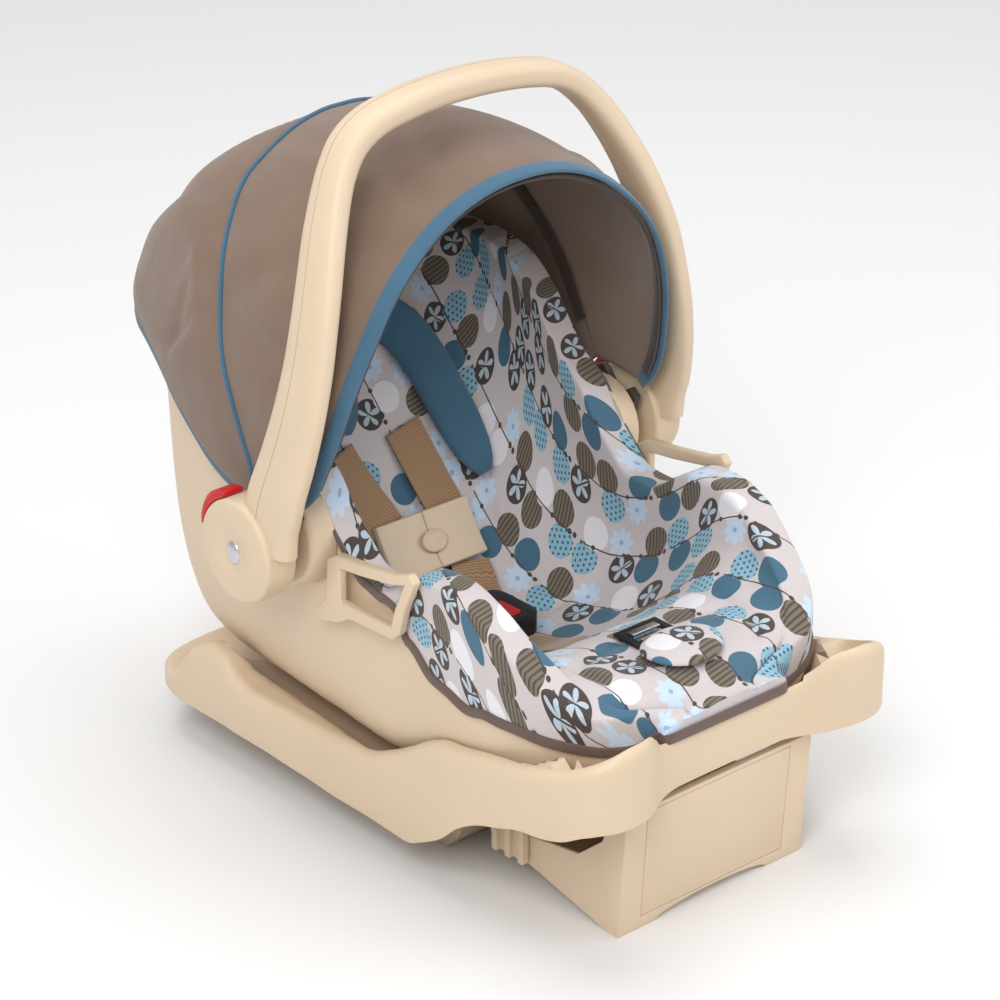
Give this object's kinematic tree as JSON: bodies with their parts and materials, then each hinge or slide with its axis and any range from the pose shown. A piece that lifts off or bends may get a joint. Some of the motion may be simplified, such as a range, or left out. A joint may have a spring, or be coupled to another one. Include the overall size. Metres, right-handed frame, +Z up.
{
  "type": "infant car seat",
  "caption": "Rear-facing infant carrier with swinging handle, folding two-bow canopy and harness, standing on its detachable base with a sliding levelling foot.",
  "frame": {"origin": "on the flat bottom of the base's pan, on the middle plane, under the seat's deepest point", "axes": "+X across the seat to its left-hand occupant side, +Y towards the head end, +Z up"},
  "size_m": [0.4428, 0.629, 0.5898],
  "materials": {
    "tan_plastic": "satin moulded",
    "grey_plastic": "matt moulded",
    "black_plastic": "satin moulded",
    "red_plastic": "satin moulded",
    "steel": "plated",
    "foam": "moulded liner",
    "pad_fabric": "printed woven",
    "canopy_fabric": "woven",
    "blue_fabric": "woven",
    "webbing": "woven strap"
  },
  "bodies": {
    "base": {"base_shell": "tan_plastic", "base_pan": "grey_plastic", "foot_rail_left": "grey_plastic", "foot_rail_right": "grey_plastic"},
    "foot": {"foot_box": "tan_plastic", "foot_panel": "tan_plastic", "foot_spring_left": "steel", "foot_spring_right": "steel"},
    "foot_pawl_left": {"foot_latch_left": "grey_plastic"},
    "foot_pawl_right": {"foot_latch_right": "grey_plastic"},
    "latch_hooks": {"latch_hook_left": "steel", "latch_hook_right": "steel"},
    "carrier": {"carrier_shell": "tan_plastic", "seat_tub": "foam", "seat_pad": "pad_fabric", "latch_bar": "steel", "buckle_housing": "black_plastic", "buckle_spring": "steel", "crotch_strap": "webbing", "adjuster_plate": "black_plastic", "adjuster_strap": "webbing", "chest_clip_left": "tan_plastic", "hub_housing_left": "tan_plastic", "hub_housing_right": "tan_plastic", "pivot_pin_left": "steel", "pivot_pin_right": "steel", "belt_guide_left": "tan_plastic", "belt_guide_right": "tan_plastic", "shoulder_cover_left": "blue_fabric", "shoulder_cover_right": "blue_fabric", "shoulder_strap_left": "webbing", "shoulder_strap_right": "webbing", "chest_strap_left": "webbing", "chest_strap_right": "webbing"},
    "release_bar": {"release_lever": "red_plastic"},
    "buckle_release": {"buckle_button": "red_plastic"},
    "chest_clip_half": {"chest_clip_right": "tan_plastic"},
    "adjuster": {"adjuster_lever": "steel"},
    "handle": {"handle_front_shell": "tan_plastic", "handle_rear_shell": "tan_plastic", "handle_disc_left": "tan_plastic", "handle_disc_right": "tan_plastic", "hub_cap_left": "tan_plastic", "hub_cap_right": "tan_plastic", "hub_rivet_left": "steel", "hub_rivet_right": "steel"},
    "handle_button_left": {"handle_button_left": "red_plastic"},
    "handle_button_right": {"handle_button_right": "red_plastic"},
    "canopy_mid": {"canopy_mid_bow": "grey_plastic", "canopy_rear_cloth": "canopy_fabric", "canopy_mid_eye_left": "grey_plastic", "canopy_mid_eye_right": "grey_plastic"},
    "canopy_front": {"canopy_front_bow": "grey_plastic", "canopy_front_cloth": "canopy_fabric", "canopy_front_eye_left": "grey_plastic", "canopy_front_eye_right": "grey_plastic"}
  },
  "joints": [
    {"name": "carrier_lift", "type": "slide", "parent": "base", "child": "carrier", "axis": [0, 0, 1], "range_m": [0, 0.3]},
    {"name": "foot_slide", "type": "slide", "parent": "base", "child": "foot", "axis": [0, 0, -1], "range_m": [0, 0.03]},
    {"name": "foot_pawl_left_slide", "type": "slide", "parent": "foot", "child": "foot_pawl_left", "axis": [1, 0, 0], "range_m": [0, 0.006], "stiffness_N_per_m": 400, "springref_m": -0.006, "deforming": ["foot_spring_left"]},
    {"name": "foot_pawl_right_slide", "type": "slide", "parent": "foot", "child": "foot_pawl_right", "axis": [-1, 0, 0], "range_m": [0, 0.006], "stiffness_N_per_m": 400, "springref_m": -0.006, "deforming": ["foot_spring_right"]},
    {"name": "latch_hook_swing", "type": "hinge", "parent": "base", "child": "latch_hooks", "pos_m": [0, 0.18, 0.028], "axis": [-1, 0, 0], "range_deg": [0, 9], "stiffness_Nm_per_rad": 0.6, "springref_deg": -11.46},
    {"name": "release_bar_squeeze", "type": "slide", "parent": "carrier", "child": "release_bar", "axis": [0, 0, 1], "range_m": [0, 0.006], "stiffness_N_per_m": 500, "springref_m": -0.006},
    {"name": "buckle_button_press", "type": "slide", "parent": "carrier", "child": "buckle_release", "axis": [0, 0, -1], "range_m": [0, 0.003], "stiffness_N_per_m": 400, "springref_m": -0.003, "deforming": ["buckle_spring"]},
    {"name": "chest_clip_open", "type": "slide", "parent": "carrier", "child": "chest_clip_half", "axis": [1, 0, 0], "range_m": [0, 0.02]},
    {"name": "adjuster_press", "type": "hinge", "parent": "carrier", "child": "adjuster", "pos_m": [0, -0.1615, 0.195], "axis": [1, 0, 0], "range_deg": [0, 8], "stiffness_Nm_per_rad": 0.05, "springref_deg": -11.46},
    {"name": "handle_swing", "type": "hinge", "parent": "carrier", "child": "handle", "pos_m": [0, 0.06, 0.25], "axis": [1, 0, 0], "range_deg": [-105, 70]},
    {"name": "handle_button_left_press", "type": "slide", "parent": "handle", "child": "handle_button_left", "axis": [1, 0, 0], "range_m": [0, 0.004], "stiffness_N_per_m": 600, "springref_m": -0.004},
    {"name": "handle_button_right_press", "type": "slide", "parent": "handle", "child": "handle_button_right", "axis": [-1, 0, 0], "range_m": [0, 0.004], "stiffness_N_per_m": 600, "springref_m": -0.004},
    {"name": "canopy_mid_fold", "type": "hinge", "parent": "carrier", "child": "canopy_mid", "pos_m": [0, 0.06, 0.25], "axis": [-1, 0, 0], "range_deg": [0, 20], "deforming": ["canopy_rear_cloth"]},
    {"name": "canopy_front_fold", "type": "hinge", "parent": "canopy_mid", "child": "canopy_front", "pos_m": [0, 0.06, 0.25], "axis": [-1, 0, 0], "range_deg": [0, 34], "deforming": ["canopy_front_cloth"]}
  ]
}
